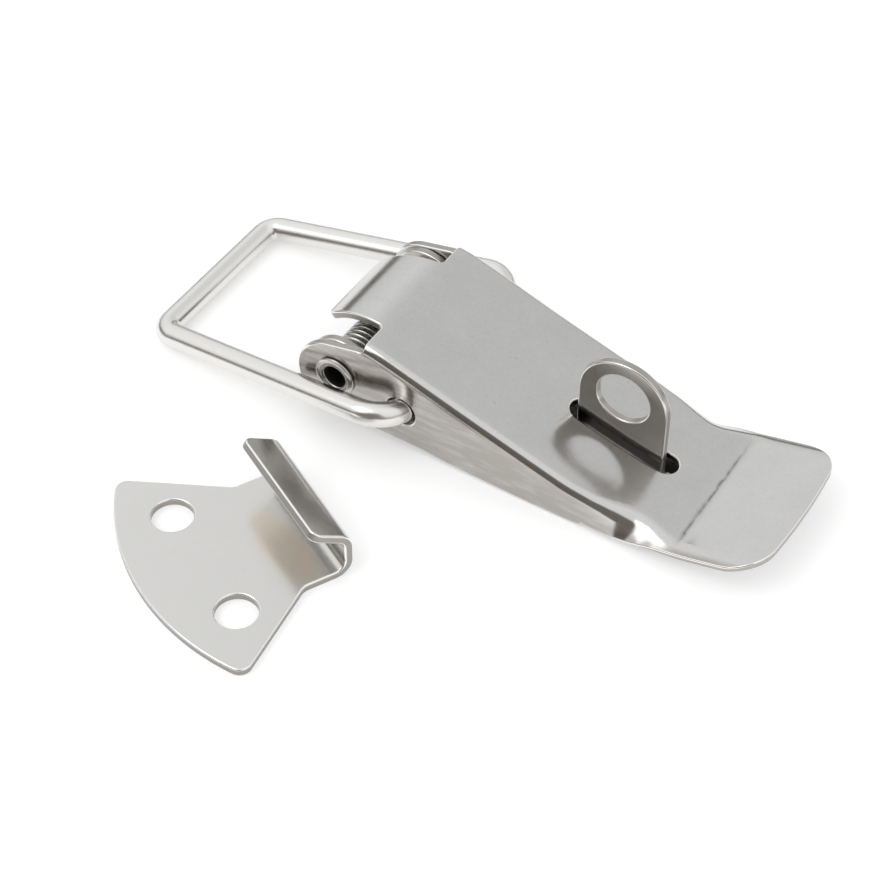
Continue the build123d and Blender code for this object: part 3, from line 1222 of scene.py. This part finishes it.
@dataclass
class BasePlate:
    """The base: a floor, two ears round the rivet and a folded-up padlock eye.

    The eye's hole is its height and radius, and each run of cuts its start, end and step.
    """

    half_width: float = 10.9
    bend: float = 1.8
    ear_radius: float = 4.9
    front_x: float = -4.6
    foot_x: float = 8.0
    floor_half: float = 9.5
    rear_x: float = 46.0
    corner: float = 2.0
    rivet_hole: float = 2.0
    screw_holes: Places = (12.5, 24.5)
    screw_radius: float = 2.65
    eye_x: float = 36.15
    eye_half: float = 6.4
    eye_height: float = 18.5
    eye_hole: Pair = (12.8, 3.75)
    eye_foot: float = -0.5
    relief: float = 0.6
    rise_points: int = 14
    fall_points: int = 10
    cuts_along: Triple = (-4.0, 44.0, 4.0)
    cuts_middle: Triple = (-6.0, 6.0, 4.0)
    cuts_eye: Triple = (0.0, 3.0, 0.2)
    bend_step: float = 0.3

    def _channel(self, x: float, s: float) -> Vector:
        """A point of the outer side of the floor and its ears, which is underneath."""
        out, rise = bent(abs(s), self.half_width - self.bend, self.bend, math.pi / 2)
        return Vector((x, math.copysign(out, s), rise))

    def _leaf(self, x: float, s: float) -> Vector:
        """A point of the eye's outer side, some way along the sheet from the foot of its bend."""
        back, rise = bent(s, 0.0, self.bend, math.pi / 2)
        return Vector((x, self.bend - SHEET / 2 - back, rise))

    def _tangent(self, foot: float, sign: float) -> float:
        """Angle, in degrees, at which the edge from a foot on the floor meets the ear's circle."""
        far = Vector((foot, -PIVOT_HEIGHT))
        return math.degrees(math.atan2(far.y, far.x) + sign * math.acos(self.ear_radius / far.length))

    def _up(self, x: float, z: float) -> Pair:
        """Flat place of a point at one height in an ear.

        Args:
            x: Place along the base.
            z: The height.

        Returns:
            Its places along the base and across the sheet.
        """
        flat = self.half_width - self.bend
        if z >= self.bend:
            return x, flat + self.bend * math.pi / 2 - self.bend + z
        return x, flat + self.bend * math.acos(1 - z / self.bend)

    def _ear(self) -> list[Pair]:
        """The blank's edge on the +Y side, from the floor's rear foot round the ear to its front foot.

        Returns:
            Its points.
        """
        rear, front = self._tangent(self.foot_x, 1), self._tangent(self.front_x, -1) + 360
        circle = arc_points((0, PIVOT_HEIGHT), self.ear_radius, rear, front, 5)
        start, end, up, down = Vector(circle[0]), Vector(circle[-1]), self.rise_points, self.fall_points
        rise = [Vector((self.foot_x, 0)).lerp(start, i / up) for i in range(up)]
        fall = [end.lerp(Vector((self.front_x, 0)), i / down) for i in range(1, down + 1)]
        ear = [self._up(*point) for point in (*rise, *circle, *fall)]
        return [(self.foot_x, self.floor_half), *ear[1:]]

    def build(self) -> list[bpy.types.Object]:
        """Folds the base and its eye.

        Returns:
            The two pieces.
        """
        stem = self.bend * math.pi / 2 - self.bend
        flat, foot_y, ear = self.half_width - self.bend, self.bend - SHEET / 2, self._ear()
        tail = arc_points((self.rear_x - self.corner, self.floor_half - self.corner), self.corner, 0, 90, 10)
        gap = self.eye_half + self.relief
        low, high = self.eye_x - gap, self.eye_x + gap
        relief = [(low, -self.floor_half), (low, foot_y), (high, foot_y), (high, -self.floor_half)]
        holes = [circle_points((x, 0), self.screw_radius) for x in self.screw_holes]
        ring = [self._up(x, z) for x, z in circle_points((0, PIVOT_HEIGHT), self.rivet_hole)]
        step = self.bend_step
        floor = Blank(
            [*tail, *ear, *mirrored(ear), *relief, *mirrored(tail)],
            [*holes, ring, mirrored(ring)],
            cuts_x=spaced(*self.cuts_along),
            cuts_y=both_sides(
                spaced(*self.cuts_middle), spaced(flat - step, flat + self.bend + stem + step, step)
            ),
        ).folded("base_floor", self._channel, under=True)
        head = arc_points((self.eye_x, self.eye_height - self.eye_half + stem), self.eye_half, 0, 180, 4)
        foot = self.eye_foot
        leaf = [(self.eye_x - self.eye_half, foot), (self.eye_x + self.eye_half, foot), *head]
        hole = circle_points((self.eye_x, self.eye_hole[0] + stem), self.eye_hole[1])
        eye = Blank(leaf, [hole], cuts_y=spaced(*self.cuts_eye)).folded("padlock_eye", self._leaf)
        return [floor, eye]


@dataclass
class CatchPlate:
    """The catch plate: a fan-shaped plate with two screw holes and a rolled hook.

    In its own plan U points towards the hook and V lies across. Each corner of the hook's outer line is its
    U, its height and its bend's radius, and each run of cuts its start, end and step.
    """

    origin: Pair = (0.73, -43.32)
    turn: float = 62.0
    neck_half: float = 9.8
    neck_u: float = 9.0
    neck_fillet: float = 2.0
    heel_u: float = -8.95
    corner: Pair = (-3.6, 18.55)
    corner_radius: float = 1.6
    corner_angle: float = 4.5
    hole_radius: float = 2.75
    hole_v: float = 9.175
    hook: tuple[Triple, ...] = (
        (13.0, 0.0, 0.0), (16.1, 0.0, 2.6), (16.1, 6.45, 2.8), (10.8, 9.5, 0.0),
    )
    tip_corner: float = 1.3
    cuts_plate: Triple = (-6.0, 10.0, 4.0)
    cuts_across: Triple = (-16.0, 16.0, 4.0)
    hook_start: float = 12.6
    hook_step: float = 0.3

    def __post_init__(self) -> None:
        """Measures the hook's path along its outer side."""
        self.path = [Vector(p) for p in rounded([(0.0, 0.0, 0.0), *self.hook], closed=False)]
        steps = ((b - a).length for a, b in zip(self.path, self.path[1:]))
        self.length = [0.0, *accumulate(steps)]

    def _outer(self, u: float, v: float) -> Vector:
        """A point of the outer side of the plate and its hook.

        Args:
            u: Place along the sheet, towards the hook.
            v: Place across it.

        Returns:
            The point.
        """
        if u <= self.hook[0][0]:
            return self._world(u, v, 0.0)
        i = min(bisect_right(self.length, u) - 1, len(self.path) - 2)
        spot = self.path[i] + (self.path[i + 1] - self.path[i]).normalized() * (u - self.length[i])
        return self._world(spot.x, v, spot.y)

    def _world(self, u: float, v: float, z: float) -> Vector:
        """A point of the plate's own plan in the model's frame."""
        cos, sin = math.cos(math.radians(self.turn)), math.sin(math.radians(self.turn))
        return Vector((self.origin[0] + u * cos - v * sin, self.origin[1] + u * sin + v * cos, z))

    def build(self) -> bpy.types.Object:
        """Cuts and rolls the catch plate.

        Returns:
            The plate.
        """
        corner_u, corner_v = self.corner
        sagitta = corner_u - self.heel_u
        radius = (corner_v**2 + sagitta**2) / (2 * sagitta)
        spread = math.degrees(math.asin(corner_v / radius)) - self.corner_angle
        back = arc_points((self.heel_u + radius, 0), radius, 180 + spread, 180 - spread, 2.5)
        end = self.length[-1]
        corners = [
            (corner_u, corner_v, self.corner_radius),
            (self.neck_u, self.neck_half, self.neck_fillet),
            (end, self.neck_half, self.tip_corner),
        ]
        ring = [(x, y, 0.0) for x, y in back]
        ring += corners + [(u, -v, r) for u, v, r in reversed(corners)]
        holes = [circle_points((0, v), self.hole_radius) for v in (-self.hole_v, self.hole_v)]
        blank = Blank(
            rounded(ring),
            holes,
            cuts_x=spaced(*self.cuts_plate) + spaced(self.hook_start, end - self.hook_step, self.hook_step),
            cuts_y=spaced(*self.cuts_across),
        )
        return blank.folded("catch_body", self._outer, under=True)


@dataclass
class PivotRivet:
    """The tubular rivet, its ends rolled over the lever's ears.

    Its seat is where a head starts, measured from the middle. The face's rims are how far it lies inside
    the head's radius and outside the bore.
    """

    seat: float = 12.25
    radius: float = 2.0
    bore: float = 1.6
    head: float = 2.95
    proud: float = 0.5
    outer_lip: float = 0.27
    inner_lip: float = 0.26
    flare: float = 0.4
    wall_gap: float = 0.05
    barrel_gain: float = 0.02
    face_drop: float = 0.02
    face_rims: Pair = (0.62, 0.42)
    lip_place: Pair = (0.2, 0.1)

    def build(self) -> bpy.types.Object:
        """Turns the rivet.

        Returns:
            The rivet.
        """
        seat, head, bore, lip = self.seat, self.head, self.bore, self.outer_lip
        bottom, face, inner = bore - self.wall_gap, seat + self.proud, self.inner_lip
        end = [(0.0, self.radius), (seat, self.radius + self.barrel_gain)]
        end.append((seat, head - lip - self.wall_gap))
        end += arc_points((seat + lip, head - lip), lip, 180, 45, 15)
        end += [(face, head - self.face_rims[0]), (face - self.face_drop, bore + self.face_rims[1])]
        end += arc_points((seat + self.lip_place[0], bore + self.lip_place[1] + inner), inner, 60, -90, 15)
        end += [(seat - self.flare, bottom), (0.0, bottom)]
        profile = end + [(-y, r) for y, r in reversed(end[1:-1])]
        return spun("pivot_tube", profile, PIVOT_HEIGHT)


@dataclass
class TorsionSpring:
    """The double torsion spring round the rivet. Each leg is its angle in degrees and its length."""

    wire: float = 0.85
    coil_radius: float = 2.525
    outer_half: float = 8.676
    pitch: float = 0.9
    full_turns: int = 5
    floor_leg: Pair = (25.0, 8.8)
    lever_leg: Pair = (2.0, 12.0)
    bridge: float = 1.3
    turn_points: int = 28
    leg_points: int = 5
    bend_points: int = 9
    sides: int = 14
    end_round: float = 0.12

    def build(self) -> bpy.types.Object:
        """Winds both halves as one wire.

        Returns:
            The spring.
        """
        turns = self.full_turns + (180 - self.floor_leg[0] + self.lever_leg[0]) / 360
        start, count = -math.pi / 2 - math.radians(self.floor_leg[0]), round(turns * self.turn_points)
        return self._wire([self._coil(2 * math.pi * turns * i / count, start) for i in range(count + 1)])

    def _coil(self, turned: float, start: float) -> Vector:
        """A point of the coil.

        Args:
            turned: How far it has turned there, in radians.
            start: The angle it starts from.

        Returns:
            The point.
        """
        across, y = self.coil_radius, self.outer_half - self.pitch * turned / (2 * math.pi)
        angle = start - turned
        return Vector((across * math.cos(angle), y, PIVOT_HEIGHT + across * math.sin(angle)))

    def _wire(self, half: list[Vector]) -> bpy.types.Object:
        """Adds the legs and the bridge and makes the wire.

        Args:
            half: Points of the +Y coil, from its floor leg inwards.

        Returns:
            The wire.
        """
        first, last = (half[1] - half[0]).normalized(), (half[-1] - half[-2]).normalized()
        floor_end = half[0] - first * self.floor_leg[1]
        lever_end = half[-1] + last * self.lever_leg[1]
        inward, count = Vector((0, -1, 0)), self.leg_points
        leg = [floor_end.lerp(half[0], i / count) for i in range(count)]
        out = [half[-1].lerp(lever_end, i / count) for i in range(1, count)]
        turns = (math.pi / 2 * i / (self.bend_points - 1) for i in range(self.bend_points))
        bend = [
            lever_end + (inward * (1 - math.cos(a)) - last * (1 - math.sin(a))) * self.bridge for a in turns
        ]
        side = leg + half + out + bend
        path = side + [Vector((p.x, -p.y, p.z)) for p in reversed(side)]
        return rod("spring_wire", path, self.wire / 2, self.sides, self.end_round)


@dataclass
class Bail:
    """The wire bail: a tapering loop whose ends turn in and dip into the lever's holes."""

    wire: float = 3.4
    hole_x: float = 10.0
    leg_rise: float = 1.5
    side_play: float = 0.6
    length: float = 39.4
    rear_half: float = 16.6
    leg_angle: float = 5.2
    end_radius: float = 4.0
    corner_radius: float = 2.4
    inner_half: float = 11.0
    lever_half: float = 12.2
    stand_in: float = 1.2
    corner_points: int = 15
    longest_step: float = 3.0
    sides: int = 40
    end_round: float = 0.35

    def build(self) -> bpy.types.Object:
        """Bends the bail.

        Returns:
            The bail.
        """
        tilt = math.asin((HOLE_HEIGHT + self.leg_rise - self.wire / 2) / self.length)
        origin = Vector((self.hole_x, self.side_play, HOLE_HEIGHT + self.leg_rise))
        ahead = Vector((-math.cos(tilt), 0, -math.sin(tilt)))
        up = Vector((-math.sin(tilt), 0, math.cos(tilt)))
        aside = up.cross(ahead)
        front = self.rear_half - self.length * math.tan(math.radians(self.leg_angle))
        end = self.inner_half - self.stand_in
        dip = self.leg_rise * (self.rear_half - end) / (self.rear_half - self.lever_half + SHEET / 2)
        flat = [
            (Vector((0, end, -dip)), 0.0),
            (Vector((0, self.rear_half, 0)), self.end_radius),
            (Vector((self.length, front, 0)), self.corner_radius),
            (Vector((self.length, -front, 0)), self.corner_radius),
            (Vector((0, -self.rear_half, 0)), self.end_radius),
            (Vector((0, -end, -dip)), 0.0),
        ]
        path = [flat[0][0]]
        for (before, _), (corner, radius), (after, _) in zip(flat, flat[1:], flat[2:]):
            centre, first, last = fillet(before, corner, after, radius)
            sweep, axis = first.angle(last), first.cross(last).normalized()
            for k in range(self.corner_points):
                share = k / (self.corner_points - 1)
                path.append(centre + Matrix.Rotation(sweep * share, 3, axis) @ first)
        path.append(flat[-1][0])
        world = [origin + ahead * p.x + aside * p.y + up * p.z for p in path]
        return rod("bail_wire", self._filled(world), self.wire / 2, self.sides, self.end_round)

    def _filled(self, path: list[Vector]) -> list[Vector]:
        """Adds points where a straight run is long, so that shading stays even.

        Args:
            path: The centre line.

        Returns:
            The line with more points.
        """
        points = [path[0]]
        for a, b in zip(path, path[1:]):
            count = max(1, round((b - a).length / self.longest_step))
            points += [a.lerp(b, i / count) for i in range(1, count + 1)]
        return points


# --- Studio ---


@dataclass
class Studio:
    """White floor, soft light, dark flags that draw lines on bright metal, and the camera.

    The sky pairs a height with a level. Each hill of the flags is, in degrees, its rise, its bearing, and
    the distances from there at which it starts to fall and ends.
    """

    azimuth: float = 31.70
    elevation: float = 45.75
    roll: float = 0.37
    distance: float = 302.0 * MM
    target: Triple = (14.92 * MM, -8.92 * MM, 0.0)
    lens: float = 92.35
    sensor: float = 36.0
    clips: Pair = (0.01, 20.0)
    floor_half: float = 3.0
    floor_drop: float = 0.02 * MM
    floor_albedo: float = 0.76
    floor_fill: float = 0.34
    sky: Stations = ((0.0, 0.78), (0.3, 0.88), (0.62, 0.97), (1.0, 1.0))
    sky_dip: float = 0.22
    sky_dip_way: Triple = (0.06, 0.70, 0.71)
    sky_dip_reach: Pair = (0.80, 0.99)
    flag_radius: float = 0.9
    flag_posts: int = 120
    flag_lift: float = 9.5
    flag_hills: tuple[Quad, ...] = (
        (8.0, 252.0, 55.0, 88.0),
        (35.0, 280.0, 26.0, 46.0),
        (1.0, 150.0, 35.0, 75.0),
    )
    flag_tone: Triple = (0.19, 0.17, 0.148)
    lamp_power: float = 0.95
    lamp_place: Triple = (-0.24, -0.36, 0.62)
    lamp_side: float = 0.46

    def build(self) -> None:
        """Makes the floor, the world, the flags, the lamp and the camera."""
        self._floor()
        self._world()
        self._flag()
        self._lamp()
        self._camera()

    def _floor(self) -> None:
        """Makes a plain white floor that keeps the latch's shadow."""
        mesh = bpy.data.meshes.new("floor")
        half = self.floor_half
        corners = [(-half, -half, 0), (half, -half, 0), (half, half, 0), (-half, half, 0)]
        mesh.from_pydata(corners, [], [(0, 1, 2, 3)])
        floor = placed("floor", mesh)
        floor.location.z = -self.floor_drop
        mat = Shader.material("floor_white")
        albedo = self.floor_albedo
        paint = mat.node("ShaderNodeBsdfDiffuse", {}, {"Color": (albedo, albedo, albedo, 1.0)})
        fill = mat.node("ShaderNodeEmission", {}, {"Color": (1, 1, 1, 1), "Strength": self.floor_fill})
        lit = mat.node("ShaderNodeAddShader", {}, {0: paint, 1: fill})
        seen = mat.node("ShaderNodeLightPath", out="Is Camera Ray")
        for ray in ("Is Glossy Ray", "Is Transmission Ray"):
            seen = seen + mat.node("ShaderNodeLightPath", out=ray)
        mat.surface(mat.node("ShaderNodeMixShader", {}, {0: seen.clamp(), 1: paint, 2: lit}))
        mesh.materials.append(mat.owner)

    def _world(self) -> None:
        """Makes a soft studio sky: white overhead, a little greyer behind the latch and low down."""
        world = bpy.data.worlds.new("studio")
        world.use_nodes = True
        bpy.context.scene.world = world
        sky = Shader(world, "ShaderNodeOutputWorld")
        way = sky.node("ShaderNodeTexCoord", out="Generated")
        rise = sky.node("ShaderNodeSeparateXYZ", {}, {0: way}, out="Z")
        stops = [(height, (level, level, level)) for height, level in self.sky]
        band = sky.node("ShaderNodeValToRGB", {"stops": stops}, {0: rise})
        ways = {0: way, 1: self.sky_dip_way}
        near = sky.node("ShaderNodeVectorMath", {"operation": "DOT_PRODUCT"}, ways, out="Value")
        span = {0: near, 1: self.sky_dip_reach[0], 2: self.sky_dip_reach[1]}
        dip = sky.node("ShaderNodeMapRange", {"interpolation_type": "SMOOTHSTEP"}, span)
        grey = 1.0 - self.sky_dip
        darken = {"data_type": "RGBA", "blend_type": "MULTIPLY"}
        colours = {"Factor": dip, 6: band, 7: (grey, grey, grey, 1.0)}
        shade = sky.node("ShaderNodeMix", darken, colours, out=2)
        sky.surface(sky.node("ShaderNodeBackground", {}, {"Color": shade}))

    def _flag(self) -> None:
        """Stands a ring of dark card round the table, low behind it and high on the camera's side.

        It isn't seen itself, only in the metal, where it draws the dark lines of rounded edges and wire.
        """
        count, radius = self.flag_posts, self.flag_radius
        verts: list[Triple] = []
        for k in range(count):
            turn = 2 * math.pi * k / count
            hills = (rise * self._hill(math.degrees(turn), *place) for rise, *place in self.flag_hills)
            lift = math.radians(self.flag_lift + sum(hills))
            x, y = radius * math.cos(turn), radius * math.sin(turn)
            verts += [(x, y, 0.0), (x, y, radius * math.tan(lift))]
        faces = [(2 * k, 2 * ((k + 1) % count), 2 * ((k + 1) % count) + 1, 2 * k + 1) for k in range(count)]
        mesh = bpy.data.meshes.new("flag_ring")
        mesh.from_pydata(verts, [], faces)
        flag = placed("flag_ring", mesh)
        flag.visible_camera = False
        flag.visible_diffuse = False
        flag.visible_shadow = False
        mat = Shader.material("flag_card")
        mat.surface(mat.node("ShaderNodeEmission", {}, {"Color": (*self.flag_tone, 1.0), "Strength": 1.0}))
        mesh.materials.append(mat.owner)

    @staticmethod
    def _hill(bearing: float, centre: float, inner: float, outer: float) -> float:
        """1 at bearings within the inner distance of the centre, falling smoothly to 0 at the outer one."""
        away = abs((bearing - centre + 180) % 360 - 180)
        return eased(away, outer, inner)

    def _lamp(self) -> None:
        """Hangs one large soft lamp above and behind the latch."""
        light = bpy.data.lights.new("softbox", "AREA")
        light.shape = "SQUARE"
        light.size = self.lamp_side
        light.energy = self.lamp_power
        lamp = placed("softbox", light)
        lamp.location = self.lamp_place
        lamp.rotation_mode = "QUATERNION"
        lamp.rotation_quaternion = (Vector(self.lamp_place) - Vector(self.target)).to_track_quat("Z", "Y")

    def _camera(self) -> None:
        """Sets up the camera from its bearing, height, roll and distance."""
        data = bpy.data.cameras.new("camera")
        data.lens = self.lens
        data.sensor_width = self.sensor
        data.clip_start, data.clip_end = self.clips
        camera = placed("camera", data)
        bearing, height, roll = (math.radians(a) for a in (self.azimuth, self.elevation, self.roll))
        level = Vector((math.cos(bearing), math.sin(bearing), 0))
        away = Vector((math.sin(bearing), -math.cos(bearing), 0))
        back = away * math.cos(height) + Vector((0, 0, math.sin(height)))
        rise = back.cross(level)
        right = level * math.cos(roll) + rise * math.sin(roll)
        up = rise * math.cos(roll) - level * math.sin(roll)
        camera.matrix_world = Matrix.Translation(Vector(self.target) + back * self.distance) @ (
            Matrix((right, up, back)).transposed().to_4x4()
        )
        bpy.context.scene.camera = camera


def main() -> None:
    """Builds the studio and the latch, dresses each piece and sends it to its body."""
    bpy.context.scene.view_settings.view_transform = "Standard"
    Studio().build()
    looks = {finish: finish.value.material() for finish in Finish}
    lever = Lever().build()
    floor, eye = BasePlate().build()
    plan = (
        (lever, "lever", "lever", "satin_sheet", Finish.LEVER_SHEET),
        (floor, "base", "base_plate", "satin_sheet", Finish.BASE_SHEET),
        (eye, "base", "base_plate", "satin_sheet", Finish.EYE_SHEET),
        (CatchPlate().build(), "base", "catch_plate", "satin_sheet", Finish.CATCH_SHEET),
        (PivotRivet().build(), "base", "pivot_rivet", "polished_steel", Finish.RIVET_STEEL),
        (TorsionSpring().build(), "base", "torsion_spring", "spring_steel", Finish.SPRING_WIRE),
        (Bail().build(), "bail", "bail", "polished_wire", Finish.BRIGHT_WIRE),
    )
    for piece, body, node, slot, finish in plan:
        piece.data.materials.append(looks[finish])
        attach(piece, body)
        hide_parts(node)
        log.info("%s: %d faces, rides on %s", piece.name, len(piece.data.polygons), body)


if __name__ == "__main__":
    main()
